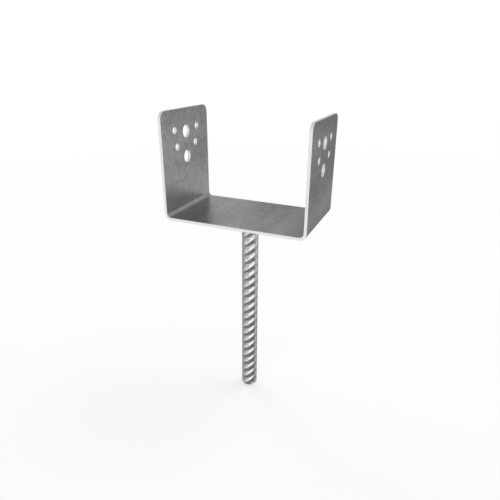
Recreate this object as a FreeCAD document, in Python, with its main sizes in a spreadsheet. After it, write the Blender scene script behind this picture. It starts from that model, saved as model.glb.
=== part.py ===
"""Cast-in post support: a bent U-shaped saddle plate on a ribbed anchor rod, joined by a fillet weld.

Units are millimetres. The origin is the centre of the seat's top face, +Z is up, X runs from arm to arm
and Y runs along the depth of the seat. The rod hangs below the seat and is cast into concrete.
"""

import FreeCAD
import Part
import Sketcher
import math
import os
from FreeCAD import Placement, Rotation, Vector

SIZES = [
    # name, millimetres (angles in degrees, counts as plain numbers)
    ("clear_width", 141.0),  # between the arms, for a 140 mm post
    ("plate_depth", 90.0),
    ("arm_height", 100.0),  # above the seat
    ("plate_thickness", 3.0),
    ("bend_inner_radius", 4.0),
    ("arm_corner_radius", 8.0),
    ("edge_round", 0.3),  # sheared edges of the plate, broken
    ("bolt_hole_radius", 6.25),
    ("upper_bolt_height", 77.5),  # every hole height is measured from the seat
    ("lower_bolt_height", 52.5),
    ("screw_hole_radius", 3.5),
    ("upper_screw_height", 80.5),
    ("upper_screw_offset", 21.5),  # from the middle of the arm, along Y
    ("lower_screw_height", 64.5),
    ("lower_screw_offset", 18.0),
    ("rod_length", 212.0),  # below the plate
    ("rod_turn", 22.7),  # how far the rod is turned about its own axis
    ("core_radius", 7.9),
    ("long_rib_reach", 8.8),  # outer face of each lengthwise rib, from the axis
    ("long_rib_width", 2.0),
    ("rib_height", 1.1),
    ("rib_width", 4.4),  # along the bar
    ("rib_slope", 36.0),  # above the horizontal
    ("rib_pitch", 10.0),
    ("rib_count", 22.0),
    ("first_rib_drop", 4.4),  # middle of the first rib, below the plate
    ("end_chamfer", 1.2),
    ("weld_leg", 5.0),
    ("weld_toe", 1.4),  # how far the foot of the weld stands out of the bar's core
    ("cut_clearance", 3.0),  # how far the saw cuts reach out past the bar's core
    ("cut_depth", 14.0),  # how much is sawn off past each end of the bar
]
NEAR = 0.1  # how close an edge has to lie to the place where it is looked for
SAME = 0.01  # how closely a flat edge's box has to match a size


def make_sheet(doc):
    sheet = doc.addObject("Spreadsheet::Sheet", "Sizes")
    for row, (name, value) in enumerate(SIZES, start=1):
        sheet.set(f"A{row}", name)
        sheet.set(f"B{row}", str(value))
        sheet.setAlias(f"B{row}", name)
    doc.recompute()
    return sheet


def origin_item(body, role):
    return next(item for item in body.Origin.OriginFeatures if item.Role == role)


def add_sketch(body, name, plane, offset=None):
    sketch = body.newObject("Sketcher::SketchObject", name)
    sketch.AttachmentSupport = [(origin_item(body, plane), "")]
    sketch.MapMode = "FlatFace"
    if offset is not None:
        sketch.AttachmentOffset = offset
    return sketch


def bind(sketch, name, expression, *constraint):
    """Adds one dimension to a sketch and ties it to the sheet."""
    index = sketch.addConstraint(Sketcher.Constraint(*constraint))
    sketch.renameConstraint(index, name)
    sketch.setExpression(f"Constraints.{name}", expression)


def add_outline(sketch, corners):
    """Adds a closed chain of straight lines through the corners, and returns their numbers."""
    points = [Vector(x, y, 0) for x, y in corners]
    lines = [
        sketch.addGeometry(Part.LineSegment(start, end), False)
        for start, end in zip(points, points[1:] + points[:1])
    ]
    for this_one, next_one in zip(lines, lines[1:] + lines[:1]):
        sketch.addConstraint(Sketcher.Constraint("Coincident", this_one, 2, next_one, 1))
    return lines


def find_edges(shape, wanted):
    return [f"Edge{number}" for number, edge in enumerate(shape.Edges, start=1) if wanted(edge)]


# ---- saddle plate ----------------------------------------------------------------------------------


def draw_fold_line(sketch, sizes):
    """The mid-seat to arm-top section of the sheet, as a closed U with square corners at the folds."""
    inner = sizes.clear_width / 2
    outer = inner + sizes.plate_thickness
    top = sizes.arm_height
    under = -sizes.plate_thickness
    corners = [
        (-outer, top), (-outer, under), (outer, under), (outer, top),
        (inner, top), (inner, 0), (-inner, 0), (-inner, top),
    ]
    left, base, right, right_top, right_inner, seat, left_inner, left_top = add_outline(sketch, corners)
    for line in (left, right, right_inner, left_inner):
        sketch.addConstraint(Sketcher.Constraint("Vertical", line))
    for line in (right_top, left_top):
        sketch.addConstraint(Sketcher.Constraint("Horizontal", line))
    sketch.addConstraint(Sketcher.Constraint("PointOnObject", seat, 1, -1))
    sketch.addConstraint(Sketcher.Constraint("Symmetric", seat, 1, seat, 2, -2))
    sketch.addConstraint(Sketcher.Constraint("Symmetric", base, 1, base, 2, -2))
    sketch.addConstraint(Sketcher.Constraint("Equal", right_inner, left_inner))
    bind(sketch, "clear_width", "Sizes.clear_width", "DistanceX", seat, 2, seat, 1, sizes.clear_width)
    bind(sketch, "arm_height", "Sizes.arm_height", "DistanceY", right_inner, 2, right_inner, 1, top)
    bind(sketch, "side_wall", "Sizes.plate_thickness", "DistanceX", right_top, 2, right_top, 1, outer - inner)
    bind(sketch, "seat_wall", "Sizes.plate_thickness", "DistanceY", base, 1, seat, 2, -under)


def make_saddle_plate(doc, sizes):
    body = doc.addObject("PartDesign::Body", "saddle_plate")
    section = add_sketch(body, "saddle_section", "XZ_Plane")
    draw_fold_line(section, sizes)
    plate = body.newObject("PartDesign::Pad", "folded_sheet")
    plate.Profile = section
    plate.SideType = "Symmetric"
    plate.setExpression("Length", "Sizes.plate_depth")
    doc.recompute()

    inner = sizes.clear_width / 2
    outer = inner + sizes.plate_thickness
    half_depth = sizes.plate_depth / 2

    def at_fold(x, z):
        def wanted(edge):
            middle = edge.CenterOfMass
            return abs(abs(middle.x) - x) < NEAR and abs(middle.z - z) < NEAR and abs(middle.y) < NEAR

        return wanted

    inside = body.newObject("PartDesign::Fillet", "inside_of_folds")
    inside.Base = (plate, find_edges(plate.Shape, at_fold(inner, 0)))
    inside.setExpression("Radius", "Sizes.bend_inner_radius")
    doc.recompute()

    outside = body.newObject("PartDesign::Fillet", "outside_of_folds")
    outside.Base = (inside, find_edges(inside.Shape, at_fold(outer, -sizes.plate_thickness)))
    outside.setExpression("Radius", "Sizes.bend_inner_radius + Sizes.plate_thickness")
    doc.recompute()

    def at_arm_corner(edge):
        middle = edge.CenterOfMass
        return abs(middle.z - sizes.arm_height) < NEAR and abs(abs(middle.y) - half_depth) < NEAR

    corners = body.newObject("PartDesign::Fillet", "arm_corners")
    corners.Base = (outside, find_edges(outside.Shape, at_arm_corner))
    corners.setExpression("Radius", "Sizes.arm_corner_radius")
    doc.recompute()

    holes = add_sketch(body, "hole_pattern", "YZ_Plane")
    places = [("upper_bolt", "bolt", 0), ("lower_bolt", "bolt", 0)]
    places += [(f"{row}_screw", "screw", side) for row in ("upper", "lower") for side in (-1, 1)]
    for number, (row, kind, side) in enumerate(places):
        radius = sizes.get(f"{kind}_hole_radius")
        height = sizes.get(f"{row}_height")
        across = side * sizes.get(f"{row}_offset") if side else 0
        circle = holes.addGeometry(Part.Circle(Vector(across, height, 0), Vector(0, 0, 1), radius), False)
        bind(holes, f"radius_{number}", f"Sizes.{kind}_hole_radius", "Radius", circle, radius)
        bind(holes, f"height_{number}", f"Sizes.{row}_height", "DistanceY", -1, 1, circle, 3, height)
        if side:
            first, second = ((-1, 1), (circle, 3)) if side > 0 else ((circle, 3), (-1, 1))
            bind(holes, f"across_{number}", f"Sizes.{row}_offset", "DistanceX", *first, *second, abs(across))
        else:
            holes.addConstraint(Sketcher.Constraint("PointOnObject", circle, 3, -2))
    punched = body.newObject("PartDesign::Pocket", "punched_holes")
    punched.Profile = holes
    punched.Type = "ThroughAll"
    punched.SideType = "Symmetric"
    doc.recompute()

    def on_rim(edge):
        """Edges round the sheet's outline and round the holes, but not the seams between its faces."""
        box = edge.BoundBox
        on_side = box.XLength < SAME and min(abs(abs(box.XMin) - x) for x in (inner, outer)) < SAME
        on_end = box.YLength < SAME and abs(abs(box.YMin) - half_depth) < SAME
        across_plate = abs(box.XLength - sizes.plate_thickness) < SAME and box.ZLength < SAME
        fold_seam = abs(box.YLength - sizes.plate_depth) < SAME and box.ZMax < sizes.arm_height / 2
        return (on_side or on_end) and not across_plate and not fold_seam

    rounded = body.newObject("PartDesign::Fillet", "broken_edges")
    rounded.Base = (punched, find_edges(punched.Shape, on_rim))
    rounded.setExpression("Radius", "Sizes.edge_round")
    body.Tip = rounded
    doc.recompute()
    return body


# ---- ribbed anchor rod -----------------------------------------------------------------------------


def draw_circle(sketch, name, expression, radius):
    """A circle about the bar's axis."""
    circle = sketch.addGeometry(Part.Circle(Vector(0, 0, 0), Vector(0, 0, 1), radius), False)
    sketch.addConstraint(Sketcher.Constraint("Coincident", circle, 3, -1, 1))
    bind(sketch, name, expression, "Radius", circle, radius)


def draw_round_bar(sketch, sizes):
    draw_circle(sketch, "core_radius", "Sizes.core_radius", sizes.core_radius)


def draw_lengthwise_ribs(sketch, sizes):
    """One strip right across the bar, whose two ends stand out of it as the ribs."""
    reach = sizes.long_rib_reach
    half = sizes.long_rib_width / 2
    corners = [(-reach, -half), (reach, -half), (reach, half), (-reach, half)]
    low, right, high, left = add_outline(sketch, corners)
    for line in (low, high):
        sketch.addConstraint(Sketcher.Constraint("Horizontal", line))
    for line in (left, right):
        sketch.addConstraint(Sketcher.Constraint("Vertical", line))
    sketch.addConstraint(Sketcher.Constraint("Symmetric", low, 1, high, 1, -1, 1))
    bind(sketch, "across", "2 * Sizes.long_rib_reach", "DistanceX", low, 1, low, 2, 2 * reach)
    bind(sketch, "width", "Sizes.long_rib_width", "DistanceY", right, 1, right, 2, 2 * half)


def draw_crescent(sketch, sizes):
    """A cross rib seen along the bar's tilted cut: nothing at the lengthwise ribs, full height between."""
    half_span = sizes.core_radius / math.cos(math.radians(sizes.rib_slope))
    crest = sizes.core_radius + sizes.rib_height
    start = Vector(-half_span, 0, 0)
    end = Vector(half_span, 0, 0)
    arc = sketch.addGeometry(Part.Arc(start, Vector(0, -crest, 0), end), False)
    chord = sketch.addGeometry(Part.LineSegment(start, end), False)
    first, last = (1, 2) if sketch.getPoint(arc, 1).x < 0 else (2, 1)
    sketch.addConstraint(Sketcher.Constraint("Coincident", arc, first, chord, 1))
    sketch.addConstraint(Sketcher.Constraint("Coincident", arc, last, chord, 2))
    sketch.addConstraint(Sketcher.Constraint("Symmetric", chord, 1, chord, 2, -1, 1))
    sketch.addConstraint(Sketcher.Constraint("PointOnObject", chord, 2, -1))
    span = "2 * Sizes.core_radius / cos(Sizes.rib_slope * 1 deg)"
    bind(sketch, "span", span, "DistanceX", chord, 1, chord, 2, 2 * half_span)
    radius = (crest**2 + half_span**2) / (2 * crest)
    crest_size = "(Sizes.core_radius + Sizes.rib_height)"
    half_size = "(Sizes.core_radius / cos(Sizes.rib_slope * 1 deg))"
    curve = f"({crest_size} ^ 2 + {half_size} ^ 2) / (2 * {crest_size})"
    bind(sketch, "curve", curve, "Radius", arc, radius)


def draw_saw_cut(sketch, sizes):
    """Half section of what is cut away below the rod, with a slanted line for the chamfer."""
    end = -sizes.rod_length
    tip = sizes.core_radius - sizes.end_chamfer
    clear = sizes.core_radius + sizes.cut_clearance
    bottom = end - sizes.cut_depth
    corners = [(0, end), (tip, end), (clear, end + clear - tip), (clear, bottom), (0, bottom)]
    cut, slant, side, below, axis = add_outline(sketch, corners)
    for line in (cut, below):
        sketch.addConstraint(Sketcher.Constraint("Horizontal", line))
    sketch.addConstraint(Sketcher.Constraint("Vertical", side))
    sketch.addConstraint(Sketcher.Constraint("PointOnObject", cut, 1, -2))
    sketch.addConstraint(Sketcher.Constraint("PointOnObject", axis, 1, -2))
    bind(sketch, "rod_length", "Sizes.rod_length", "DistanceY", cut, 1, -1, 1, -end)
    bind(sketch, "tip", "Sizes.core_radius - Sizes.end_chamfer", "DistanceX", cut, 1, cut, 2, tip)
    bind(sketch, "clear", "Sizes.core_radius + Sizes.cut_clearance", "DistanceX", below, 2, below, 1, clear)
    bind(sketch, "depth", "Sizes.cut_depth", "DistanceY", below, 1, cut, 2, sizes.cut_depth)
    sketch.addConstraint(Sketcher.Constraint("Angle", slant, math.radians(45)))


def make_anchor_rod(doc, sizes):
    """In its own frame the bar's cut top is at z = 0, its lengthwise ribs on X and its cross ribs on Y."""
    body = doc.addObject("PartDesign::Body", "anchor_rod")
    for name, draw in (("bar_core", draw_round_bar), ("lengthwise_ribs", draw_lengthwise_ribs)):
        section = add_sketch(body, f"{name}_section", "XY_Plane")
        draw(section, sizes)
        pad = body.newObject("PartDesign::Pad", name)
        pad.Profile = section
        pad.Reversed = True
        pad.setExpression("Length", "Sizes.rod_length")
        doc.recompute()

    tilt = Placement(Vector(0, 0, -sizes.first_rib_drop), Rotation(Vector(0, -1, 0), sizes.rib_slope))
    crescent = add_sketch(body, "cross_rib_section", "XY_Plane", tilt)
    crescent.setExpression("AttachmentOffset.Base.z", "-Sizes.first_rib_drop")
    crescent.setExpression("AttachmentOffset.Rotation.Angle", "Sizes.rib_slope")
    draw_crescent(crescent, sizes)
    rib = body.newObject("PartDesign::Pad", "cross_rib")
    rib.Profile = crescent
    rib.SideType = "Symmetric"
    rib.UseCustomVector = True
    rib.Direction = Vector(0, 0, 1)
    rib.AlongSketchNormal = False
    rib.setExpression("Length", "Sizes.rib_width")
    doc.recompute()

    bar_axis = origin_item(body, "Z_Axis")
    rows = body.newObject("PartDesign::MultiTransform", "cross_ribs")
    rows.Originals = [rib]
    down_the_bar = body.newObject("PartDesign::LinearPattern", "down_the_bar")
    down_the_bar.Direction = (bar_axis, [""])
    down_the_bar.Reversed = True
    down_the_bar.setExpression("Length", "(Sizes.rib_count - 1) * Sizes.rib_pitch")
    down_the_bar.setExpression("Occurrences", "Sizes.rib_count")
    both_sides = body.newObject("PartDesign::PolarPattern", "both_sides")
    both_sides.Axis = (bar_axis, [""])
    both_sides.Angle = 360
    both_sides.Occurrences = 2
    rows.Transformations = [down_the_bar, both_sides]
    body.Tip = rows
    doc.recompute()

    saw = add_sketch(body, "saw_cut_section", "XZ_Plane")
    draw_saw_cut(saw, sizes)
    cut_end = body.newObject("PartDesign::Groove", "cut_end")
    cut_end.Profile = saw
    cut_end.ReferenceAxis = (saw, ["V_Axis"])
    cut_end.Angle = 360
    doc.recompute()

    above = add_sketch(body, "top_cut_section", "XY_Plane")
    clear = sizes.core_radius + sizes.cut_clearance
    draw_circle(above, "clear", "Sizes.core_radius + Sizes.cut_clearance", clear)
    cut_top = body.newObject("PartDesign::Pocket", "cut_top")
    cut_top.Profile = above
    cut_top.Type = "Length"
    cut_top.Reversed = True
    cut_top.setExpression("Length", "Sizes.cut_depth")
    body.Tip = cut_top
    doc.recompute()

    turn = Rotation(Vector(0, 0, 1), sizes.rod_turn)
    body.Placement = Placement(Vector(0, 0, -sizes.plate_thickness), turn)
    body.setExpression("Placement.Base.z", "-Sizes.plate_thickness")
    body.setExpression("Placement.Rotation.Angle", "Sizes.rod_turn")
    doc.recompute()
    return body


# ---- weld ------------------------------------------------------------------------------------------


def make_rod_weld(doc, sizes, rod):
    """A fillet weld round the rod under the plate: a cone less the ribbed bar, so it fits the bar's ribs."""
    bead = doc.addObject("Part::Cone", "weld_cone")
    bead.setExpression("Radius1", "Sizes.core_radius + Sizes.weld_toe")
    bead.setExpression("Radius2", "Sizes.core_radius + Sizes.weld_leg")
    bead.setExpression("Height", "Sizes.weld_leg")
    bead.setExpression("Placement.Base.z", "-Sizes.plate_thickness - Sizes.weld_leg")
    weld = doc.addObject("Part::Cut", "rod_weld")
    weld.Base = bead
    weld.Tool = rod
    doc.recompute()
    return weld


# ---- build and write -------------------------------------------------------------------------------


def check_document(doc, pieces):
    for item in doc.Objects:
        if "Invalid" in item.State or "Error" in item.State:
            raise RuntimeError(f"{item.Name} did not build: {item.State}")
    for piece in pieces:
        shape = piece.Shape
        if shape.isNull() or not shape.isValid() or len(shape.Solids) != 1:
            raise RuntimeError(f"{piece.Label} is not one valid solid")


def main():
    doc = FreeCAD.newDocument("post_support")
    sizes = make_sheet(doc)
    saddle = make_saddle_plate(doc, sizes)
    rod = make_anchor_rod(doc, sizes)
    weld = make_rod_weld(doc, sizes, rod)
    pieces = [saddle, rod, weld]
    check_document(doc, pieces)
    os.makedirs("parts", exist_ok=True)
    for piece in pieces:
        piece.Shape.exportStep(f"parts/{piece.Label}.step")
        print(f"{piece.Label}: {piece.Shape.Volume:.0f} mm3")


main()
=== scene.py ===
import math

import bmesh
import bpy
import numpy as np
from mathutils import Matrix, Vector


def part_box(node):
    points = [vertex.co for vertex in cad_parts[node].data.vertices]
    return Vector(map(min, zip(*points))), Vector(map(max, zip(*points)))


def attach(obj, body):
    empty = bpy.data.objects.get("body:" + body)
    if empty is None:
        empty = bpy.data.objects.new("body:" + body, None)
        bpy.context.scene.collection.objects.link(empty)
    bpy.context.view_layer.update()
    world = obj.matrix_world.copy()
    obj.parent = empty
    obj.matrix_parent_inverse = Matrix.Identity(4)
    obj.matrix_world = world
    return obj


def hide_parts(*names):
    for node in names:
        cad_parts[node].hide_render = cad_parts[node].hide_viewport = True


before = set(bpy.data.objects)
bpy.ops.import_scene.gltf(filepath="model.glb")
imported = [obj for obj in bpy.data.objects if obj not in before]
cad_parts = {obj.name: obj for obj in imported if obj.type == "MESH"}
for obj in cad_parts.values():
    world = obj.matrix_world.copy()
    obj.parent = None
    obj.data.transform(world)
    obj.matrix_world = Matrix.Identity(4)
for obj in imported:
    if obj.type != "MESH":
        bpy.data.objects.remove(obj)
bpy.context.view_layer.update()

MM = 0.001

# ---- sizes read from the frame ---------------------------------------------------------------------

rod_low, rod_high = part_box("anchor_rod")
weld_low, weld_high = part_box("rod_weld")

ROD_TOP = rod_high.z
ROD_END = rod_low.z

# ---- the ribbed bar --------------------------------------------------------------------------------

BAR_TURN = math.radians(22.7)  # how far the bar is turned about its own axis
BAR_CORE = 7.9 * MM
CROSS_RIB_HEIGHT = 1.1 * MM
CROSS_RIB_CREST = 0.3 * MM  # half the width of the rounded top, along the bar
CROSS_RIB_FOOT = 4.4 * MM  # half the width where the flanks run out
CROSS_RIB_SLOPE = math.tan(math.radians(36))
CROSS_RIB_PITCH = 10.0 * MM
FIRST_RIB_DROP = 4.4 * MM  # middle of the first rib, below the plate
LONG_RIB_HEIGHT = 0.9 * MM
LONG_RIB_CREST = 0.8 * MM
LONG_RIB_FOOT = 1.5 * MM
END_CHAMFER = 1.2 * MM
SAW_MARK_PITCH = 1.6 * MM  # the saw's marks across the cut end
SAW_MARK_DEPTH = 0.08 * MM
BAR_AROUND = 128  # facets round the bar
BAR_STEP = 0.4 * MM  # between rings along the bar
SAWN_RINGS = 26  # across the cut end


def smooth_step(edge_in, edge_out, value):
    """1 up to edge_in, 0 past edge_out, and a smooth S between them."""
    t = np.clip((edge_out - value) / (edge_out - edge_in), 0, 1)
    return t * t * (3 - 2 * t)


def bar_radius(angle, height):
    """Radius of the ribbed bar. The angle is measured from the middle of one row of cross ribs."""
    radius = np.full(np.broadcast(angle, height).shape, BAR_CORE)
    crest_radius = BAR_CORE + CROSS_RIB_HEIGHT
    off_centre = (crest_radius**2 - BAR_CORE**2) / (2 * crest_radius)
    groove = crest_radius - off_centre
    rise = np.zeros_like(radius)
    for row_angle in (0, math.pi):
        turned = np.angle(np.exp(1j * (angle - row_angle)))
        reach = off_centre * np.cos(turned) + np.sqrt(groove**2 - (off_centre * np.sin(turned)) ** 2)
        crescent = np.maximum(reach - BAR_CORE, 0)
        along = ROD_TOP - FIRST_RIB_DROP + CROSS_RIB_SLOPE * BAR_CORE * np.sin(turned) - height
        from_rib = np.abs((along + CROSS_RIB_PITCH / 2) % CROSS_RIB_PITCH - CROSS_RIB_PITCH / 2)
        rise = np.maximum(rise, crescent * smooth_step(CROSS_RIB_CREST, CROSS_RIB_FOOT, from_rib))
    from_long = BAR_CORE * np.abs(np.abs(np.angle(np.exp(1j * angle))) - math.pi / 2)
    rise = np.maximum(rise, LONG_RIB_HEIGHT * smooth_step(LONG_RIB_CREST, LONG_RIB_FOOT, from_long))
    chamfer = BAR_CORE - END_CHAMFER + (height - ROD_END)
    return np.minimum(radius + rise, chamfer)


def ring_mesh(name, rings, endless=False):
    """A smooth skin over rings of equally many points.

    An endless skin joins its last ring to its first, as a doughnut does. Otherwise a fan closes each end.
    """
    count = len(rings[0])
    points = np.concatenate(rings)
    faces = []
    for row in range(len(rings) if endless else len(rings) - 1):
        here = row * count
        there = (row + 1) % len(rings) * count
        for k in range(count):
            after = (k + 1) % count
            faces.append((here + k, here + after, there + after, there + k))
    if not endless:
        for first in (0, (len(rings) - 1) * count):
            middle = len(points)
            points = np.vstack([points, points[first : first + count].mean(axis=0)])
            faces += [(first + k, first + (k + 1) % count, middle) for k in range(count)]
    mesh = bpy.data.meshes.new(name)
    mesh.from_pydata(points.tolist(), [], faces)
    bm = bmesh.new()
    bm.from_mesh(mesh)
    bmesh.ops.recalc_face_normals(bm, faces=bm.faces)
    bm.to_mesh(mesh)
    bm.free()
    mesh.shade_smooth()
    piece = bpy.data.objects.new(name, mesh)
    bpy.context.scene.collection.objects.link(piece)
    return piece


def make_ribbed_bar():
    """The bar's whole skin: cross ribs, lengthwise ribs, chamfer, and the cut end with its saw marks."""
    angles = np.linspace(0, 2 * math.pi, BAR_AROUND, endpoint=False)
    place = angles + BAR_TURN
    outward = np.column_stack([np.sin(place), -np.cos(place)])
    rings = []
    for height in np.linspace(ROD_TOP, ROD_END, round((ROD_TOP - ROD_END) / BAR_STEP) + 1):
        flat = bar_radius(angles, height)[:, None] * outward
        rings.append(np.column_stack([flat, np.full(BAR_AROUND, height)]))
    rim = rings[-1]
    for share in np.linspace(1, 0, SAWN_RINGS, endpoint=False)[1:]:
        ring = rim * (share, share, 1)
        ring[:, 2] += SAW_MARK_DEPTH * np.sin(math.pi * ring[:, 0] / SAW_MARK_PITCH) ** 2
        rings.append(ring)
    return ring_mesh("ribbed_bar", rings)


# ---- the weld --------------------------------------------------------------------------------------

WELD_RIPPLES = 34  # in one lap of the torch
WELD_RIPPLE = 0.25 * MM
WELD_BELLY = 0.45 * MM  # how far the bead swells out between its toes
WELD_WANDER = 0.3 * MM  # how far each toe strays from a true circle
WANDER_WAVES = [
    # waves in a lap, where they start, their share of the whole
    (3, 0.7, 1 / 2),
    (7, 0.0, 1 / 4),
    (11, 2.0, 1 / 6),
]
BAR_TOE_WANDER = 0.8  # the toe on the bar strays less than the one on the plate
WELD_FOOT = 1.4 * MM  # how far the foot stands out of the bar's core
WELD_ROOT = BAR_CORE - 0.6 * MM  # the bead's inner side, buried in the bar
POINTS_A_RIPPLE = 12
WELD_ROWS = 15


def make_weld_bead():
    """A fillet weld laid round the bar: half-moon ripples on a slight belly, between toes that wander."""
    around = WELD_RIPPLES * POINTS_A_RIPPLE
    angles = np.linspace(0, 2 * math.pi, around, endpoint=False)
    outward = np.column_stack([np.cos(angles), np.sin(angles)])
    wander = WELD_WANDER * sum(share * np.sin(waves * angles + start) for waves, start, share in WANDER_WAVES)
    plate_toe = weld_high.x - WELD_BELLY - WELD_WANDER + wander
    bar_toe = weld_low.z + WELD_WANDER - BAR_TOE_WANDER * wander
    rings = []
    for share in np.linspace(0, 1, WELD_ROWS):
        swell = math.sin(math.pi * share)
        half_moon = (WELD_RIPPLES * angles / (2 * math.pi) + (2 * share - 1) ** 2) % 1
        reach = plate_toe + (BAR_CORE + WELD_FOOT - plate_toe) * share
        reach = reach + swell * (WELD_BELLY - WELD_RIPPLE * half_moon**2)
        height = weld_high.z + (bar_toe - weld_high.z) * share
        rings.append(np.column_stack([reach[:, None] * outward, height]))
    for height in (weld_low.z + 2 * WELD_WANDER, weld_high.z):
        rings.append(np.column_stack([WELD_ROOT * outward, np.full(around, height)]))
    return ring_mesh("weld_bead", rings, endless=True)


# ---- finishes --------------------------------------------------------------------------------------


def linear(hex_colour):
    """sRGB hex to the linear colour that a shader takes."""
    parts = [int(hex_colour[i : i + 2], 16) / 255 for i in (1, 3, 5)]
    return (*[p / 12.92 if p <= 0.04045 else ((p + 0.055) / 1.055) ** 2.4 for p in parts], 1.0)


def add_node(tree, kind, settings=None, links=None):
    """Adds a node, sets its properties and inputs, and joins other inputs to a socket or a node's output."""
    node = tree.nodes.new(f"ShaderNode{kind}")
    for key, value in (settings or {}).items():
        if isinstance(key, str) and hasattr(node, key):
            setattr(node, key, value)
        else:
            node.inputs[key].default_value = value
    for key, source in (links or {}).items():
        if isinstance(source, bpy.types.Node):
            source = next(socket for socket in source.outputs if socket.enabled)
        tree.links.new(source, node.inputs[key])
    return node


def start_zinc(name):
    """A bare metal material, with its node tree, its shader and the place on the piece in metres."""
    material = bpy.data.materials.new(name)
    material.use_nodes = True
    tree = material.node_tree
    shader = tree.nodes["Principled BSDF"]
    shader.inputs["Metallic"].default_value = 1.0
    return material, tree, shader, add_node(tree, "TexCoord").outputs["Object"]


def finish_zinc(tree, shader, place, colour, roughness, skin, depth):
    """Joins a colour and a roughness to the shader, over a slow wave and the skin's own pattern in relief."""
    wave = add_node(tree, "TexNoise", {"Scale": 1 / WAVE, "Detail": 1.0}, {"Vector": place})
    slow = add_node(tree, "Bump", {"Strength": 1.0, "Distance": WAVE_DEPTH}, {"Height": wave})
    fine = add_node(tree, "Bump", {"Strength": 1.0, "Distance": depth}, {"Height": skin, "Normal": slow})
    for socket, source in (("Base Color", colour), ("Roughness", roughness), ("Normal", fine)):
        tree.links.new(next(output for output in source.outputs if output.enabled), shader.inputs[socket])


def add_ramp(tree, value, stops):
    ramp = add_node(tree, "ValToRGB", {}, {"Fac": value})
    for stop, (position, colour) in zip(ramp.color_ramp.elements, stops):
        stop.position = position
        stop.color = linear(colour)
    return ramp


# A hot-dip zinc coat, with the sizes of its patterns.
CLOUD = 30 * MM  # where the zinc drained off thicker or thinner
CLOUD_STRETCH = 0.2  # clouds are longer along the sheet's depth
CRYSTAL = 4 * MM  # the zinc's own crystals, which only just show
GRAIN = 0.9 * MM  # the skin's fine tooth, drawn coarser than its real 0.1 mm so that it shows
GRAIN_DEPTH = 0.0012 * MM
WELD_GRAIN_DEPTH = 3 * GRAIN_DEPTH
WAVE = 14 * MM  # slow unevenness of the coat, which bends what it reflects
WAVE_DEPTH = 0.03 * MM
FOLD_END = 6.4 * MM  # the sheet's inner bend is over well below this height
FOLD_TOP = 8 * MM  # above this, a face that isn't an arm's side is a sheared edge or a hole's wall
FACES_OFF = 0.5  # a face that looks this much or less along an axis doesn't count as facing it
FACES_ALONG = 0.8  # and from here on it fully does

CRYSTAL_SHARE = 0.18  # of the sheet's tone; the clouds give the rest
SHEET_TONES = ((0.3, "#868788"), (0.7, "#adaead"))
SHEET_ROUGHNESS = {"To Min": 0.26, "To Max": 0.38}
# Near-white on the sheared edges and in the holes: partly the duller, thicker zinc there, and partly painted
# highlight for the front light these faces catch.
SHEARED_HIGHLIGHT_COLOUR = "#f6f6f5"
SHEARED_ROUGHNESS = 0.6
SHEARED_METALLIC = 0.2  # the thick, dull zinc there is no longer bare metal, which lets the near-white colour above show as a painted highlight

VALLEY_DEPTH = 0.1 * MM  # below the bar's core, where the valley's painted shade and duller zinc start
BAR_GRAIN_SHARE = 0.3
# valley to rib colours: painted shade in the valleys, painted highlight on the ribs
BAR_PAINTED_SHADE_TONES = ((0.1, "#a6a7a8"), (0.8, "#d2d2d1"))
BAR_ROUGHNESS = {"To Min": 0.3, "To Max": 0.2}

PIMPLE = 2 * GRAIN
WELD_GRAIN_SHARE = 0.5
WELD_TONES = ((0.2, "#bfbfbe"), (0.7, "#98999a"))
WELD_ROUGHNESS = {"To Min": 0.3, "To Max": 0.5}


def find_sheared(tree, place):
    """1 on the sheet's sheared edges and in its punched holes, and 0 on its faces and folds."""
    facing = add_node(tree, "SeparateXYZ", {}, {0: add_node(tree, "NewGeometry").outputs["Normal"]})
    height = add_node(tree, "SeparateXYZ", {}, {0: place}).outputs["Z"]
    to_front = add_node(tree, "Math", {"operation": "ABSOLUTE"}, {0: facing.outputs["Y"]})
    to_side = add_node(tree, "Math", {"operation": "ABSOLUTE"}, {0: facing.outputs["X"]})
    along = {"From Min": FACES_OFF, "From Max": FACES_ALONG}
    away = {"From Min": FACES_ALONG, "From Max": FACES_OFF}
    cut_end = add_node(tree, "MapRange", along, {"Value": to_front})
    off_side = add_node(tree, "MapRange", away, {"Value": to_side})
    in_arm = add_node(tree, "MapRange", {"From Min": FOLD_END, "From Max": FOLD_TOP}, {"Value": height})
    rim = add_node(tree, "Math", {"operation": "MULTIPLY"}, {0: off_side, 1: in_arm})
    return add_node(tree, "Math", {"operation": "MAXIMUM"}, {0: cut_end, 1: rim})


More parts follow.
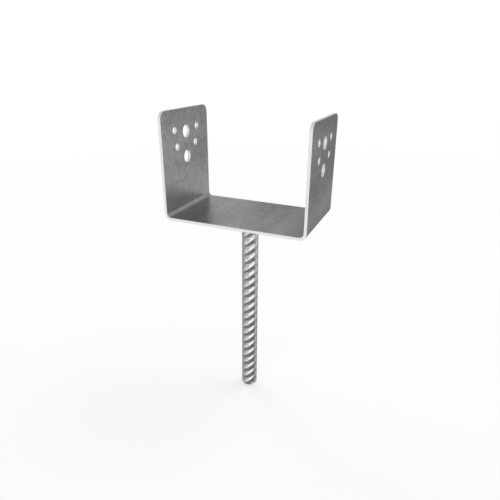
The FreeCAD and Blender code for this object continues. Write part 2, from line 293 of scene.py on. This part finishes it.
def make_sheet_finish():
    """Hot-dip galvanised sheet steel: silver grey, faintly clouded, with a blurred reflection.

    The zinc sits thicker and duller on the sheared edges and in the punched holes, and their near-white
    colour is partly painted highlight.
    """
    material, tree, shader, place = start_zinc("hot_dip_galvanised_sheet")
    along = add_node(tree, "VectorMath", {"operation": "MULTIPLY", 1: (1, CLOUD_STRETCH, 1)}, {0: place})
    clouds = add_node(tree, "TexNoise", {"Scale": 1 / CLOUD, "Detail": 3.0}, {"Vector": along})
    crystals = add_node(tree, "TexVoronoi", {"Scale": 1 / CRYSTAL}, {"Vector": place})
    crystal = add_node(tree, "SeparateColor", {}, {0: crystals.outputs["Color"]})
    grain = add_node(tree, "TexNoise", {"Scale": 1 / GRAIN, "Detail": 2.0}, {"Vector": place})
    tone = add_node(tree, "Mix", {"Factor": CRYSTAL_SHARE}, {"A": clouds, "B": crystal})
    zinc = add_ramp(tree, tone, SHEET_TONES)
    skin = add_node(tree, "MapRange", SHEET_ROUGHNESS, {"Value": tone})

    sheared = find_sheared(tree, place)
    # painted highlight: the sheared edges and the holes' walls get a near-white colour
    painted_highlight = {"data_type": "RGBA", "B": linear(SHEARED_HIGHLIGHT_COLOUR)}
    colour = add_node(tree, "Mix", painted_highlight, {"Factor": sheared, "A": zinc})
    roughness = add_node(tree, "Mix", {"B": SHEARED_ROUGHNESS}, {"Factor": sheared, "A": skin})
    bare = add_node(tree, "MapRange", {"To Min": 1.0, "To Max": SHEARED_METALLIC}, {"Value": sheared})
    tree.links.new(bare.outputs[0], shader.inputs["Metallic"])
    finish_zinc(tree, shader, along, colour, roughness, grain, GRAIN_DEPTH)
    return material


def make_bar_finish():
    """Hot-dip galvanised reinforcing bar: duller zinc in the valleys, with painted shade in the valleys and a
    painted highlight on the ribs.
    """
    material, tree, shader, place = start_zinc("hot_dip_galvanised_bar")
    flat = add_node(tree, "VectorMath", {"operation": "MULTIPLY", 1: (1, 1, 0)}, {0: place})
    reach = add_node(tree, "VectorMath", {"operation": "LENGTH"}, {0: flat}).outputs["Value"]
    limits = {"From Min": BAR_CORE - VALLEY_DEPTH, "From Max": BAR_CORE + CROSS_RIB_HEIGHT}
    proud = add_node(tree, "MapRange", limits, {"Value": reach})
    grain = add_node(tree, "TexNoise", {"Scale": 1 / GRAIN, "Detail": 3.0}, {"Vector": place})
    tone = add_node(tree, "Mix", {"Factor": BAR_GRAIN_SHARE}, {"A": proud, "B": grain})
    # painted shade in the valleys and painted highlight on the ribs, by how far the skin stands out
    colour = add_ramp(tree, tone, BAR_PAINTED_SHADE_TONES)
    roughness = add_node(tree, "MapRange", BAR_ROUGHNESS, {"Value": tone})
    finish_zinc(tree, shader, place, colour, roughness, grain, GRAIN_DEPTH)
    return material


def make_weld_finish():
    """Galvanised weld bead: the zinc takes to it dull and grey, with small bright pimples."""
    material, tree, shader, place = start_zinc("hot_dip_galvanised_weld")
    pimples = add_node(tree, "TexVoronoi", {"Scale": 1 / PIMPLE}, {"Vector": place})
    grain = add_node(tree, "TexNoise", {"Scale": 1 / GRAIN, "Detail": 3.0}, {"Vector": place})
    tone = add_node(tree, "Mix", {"Factor": WELD_GRAIN_SHARE}, {"A": pimples, "B": grain})
    colour = add_ramp(tree, tone, WELD_TONES)
    roughness = add_node(tree, "MapRange", WELD_ROUGHNESS, {"Value": tone})
    finish_zinc(tree, shader, place, colour, roughness, tone, WELD_GRAIN_DEPTH)
    return material


# ---- studio ----------------------------------------------------------------------------------------

SWEEP_FLOOR = 1.5  # metres, the flat part's radius
SWEEP_INNER = (0.3, 0.8)  # rings between its middle and the bend
SWEEP_BEND = 1.2  # metres
SWEEP_BEND_STEPS = 24
SWEEP_TOP = 4.0  # metres
SWEEP_GAP = 0.5 * MM  # below the bar's end
SWEEP_AROUND = 96
PAPER_COLOUR = "#f2f2f2"
PAPER_ROUGHNESS = 0.9
PAPER_LIGHT = 0.45  # the light that the paper has of its own, as if lit from above

AMBIENT = 0.12
GLOW_FALLOFF = 12.0  # the higher, the tighter
GLOWS = [
    # azimuth from the front towards +X and height in degrees, strength
    (-60, 5, 1.1),  # a row at eye height from the left round to the right, for the bar's ribs
    (0, 5, 1.75),
    (30, 5, 1.0),
    (60, 5, 1.75),
    (120, 5, 1.1),
    (-120, 30, 1.65),  # higher at the back, for the seat and the edges that look up
    (-152, 26, 0.42),
    (135, 55, 1.2),
    (150, 40, 0.4),
    (-30, -25, 1.0),  # low round the left, for the bar's valleys and the left arm's outer face
    (-90, -25, 0.55),
    (-125, -45, 0.35),
    (138, -24, 0.78),  # low at the back right, which faces that look right mirror
    (45, -60, 0.3),  # a little from underneath
]


def direction(azimuth, height):
    """The unit vector towards a glow, from angles in degrees."""
    turn = math.radians(azimuth)
    lift = math.radians(height)
    return Vector((math.sin(turn) * math.cos(lift), -math.cos(turn) * math.cos(lift), math.sin(lift)))


def make_sweep():
    """A round paper floor that curves up into its own backdrop."""
    angles = np.linspace(0, 2 * math.pi, SWEEP_AROUND, endpoint=False)
    floor = ROD_END - SWEEP_GAP
    bend = [
        (SWEEP_FLOOR + SWEEP_BEND * math.sin(turn), floor + SWEEP_BEND * (1 - math.cos(turn)))
        for turn in np.linspace(0, math.pi / 2, SWEEP_BEND_STEPS)
    ]
    middle = [(radius, floor) for radius in SWEEP_INNER]
    profile = [*middle, *bend, (SWEEP_FLOOR + SWEEP_BEND, SWEEP_TOP)]
    outward = np.column_stack([np.cos(angles), np.sin(angles)])
    rings = [np.column_stack([radius * outward, np.full(SWEEP_AROUND, z)]) for radius, z in profile]
    sweep = ring_mesh("studio_sweep", rings)
    material = bpy.data.materials.new("pale_paper")
    material.use_nodes = True
    shader = material.node_tree.nodes["Principled BSDF"]
    shader.inputs["Base Color"].default_value = linear(PAPER_COLOUR)
    shader.inputs["Roughness"].default_value = PAPER_ROUGHNESS
    shader.inputs["Emission Color"].default_value = (1, 1, 1, 1)
    shader.inputs["Emission Strength"].default_value = PAPER_LIGHT
    sweep.data.materials.append(material)
    sweep.visible_glossy = False
    sweep.visible_diffuse = False
    sweep.visible_shadow = False


def make_surroundings():
    """A dim room with broad soft glows round it, each as wide as the falloff leaves it."""
    world = bpy.data.worlds.new("studio")
    bpy.context.scene.world = world
    world.use_nodes = True
    tree = world.node_tree
    towards = add_node(tree, "TexCoord").outputs["Generated"]
    light = None
    for azimuth, height, strength in GLOWS:
        aim = {"operation": "DOT_PRODUCT", 1: direction(azimuth, height)}
        near = add_node(tree, "VectorMath", aim, {0: towards}).outputs["Value"]
        lit = add_node(tree, "Math", {"operation": "MAXIMUM", 1: 0.0}, {0: near})
        fall = add_node(tree, "Math", {"operation": "POWER", 1: GLOW_FALLOFF}, {0: lit})
        glow = {"operation": "MULTIPLY_ADD", 1: strength, 2: AMBIENT}
        others = {2: light} if light else {}
        light = add_node(tree, "Math", glow, {0: fall, **others})
    tree.links.new(light.outputs[0], tree.nodes["Background"].inputs["Strength"])
    tree.nodes["Background"].inputs["Color"].default_value = (1, 1, 1, 1)


CAMERA_SENSOR = 36  # mm across
CAMERA_LENS = 32.85  # mm
CAMERA_SHIFT = (-0.0434, 0.0358)  # in frame widths
CAMERA_PLACE = (174.0, -415.8, 148.8)  # mm
CAMERA_HEADING = 19.71  # degrees, turned left from looking along +Y
CAMERA_DIP = 24.98  # degrees down from level
CAMERA_ROLL = 1.61  # degrees


def make_camera():
    """A slightly long lens, a little above the seat and to its right."""
    data = bpy.data.cameras.new("camera")
    camera = bpy.data.objects.new("camera", data)
    bpy.context.scene.collection.objects.link(camera)
    data.sensor_width = CAMERA_SENSOR
    data.lens = CAMERA_LENS
    data.shift_x, data.shift_y = CAMERA_SHIFT
    place = Matrix.Translation(Vector(CAMERA_PLACE) * MM)
    turn = Matrix.Rotation(math.radians(CAMERA_HEADING), 4, "Z")
    dip = Matrix.Rotation(math.radians(90 - CAMERA_DIP), 4, "X")
    roll = Matrix.Rotation(math.radians(CAMERA_ROLL), 4, "Z")
    camera.matrix_world = place @ turn @ dip @ roll
    bpy.context.scene.camera = camera


# ---- put together ----------------------------------------------------------------------------------

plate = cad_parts["saddle_plate"]
plate.data.materials.clear()
plate.data.materials.append(make_sheet_finish())

for piece, finish, node, slot in (
    (make_ribbed_bar(), make_bar_finish(), "anchor_rod", "galvanised_bar"),
    (make_weld_bead(), make_weld_finish(), "rod_weld", "galvanised_weld"),
):
    piece.data.materials.append(finish)
    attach(piece, "root")
    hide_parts(node)

make_sweep()
make_surroundings()
make_camera()
bpy.context.scene.view_settings.view_transform = "Standard"
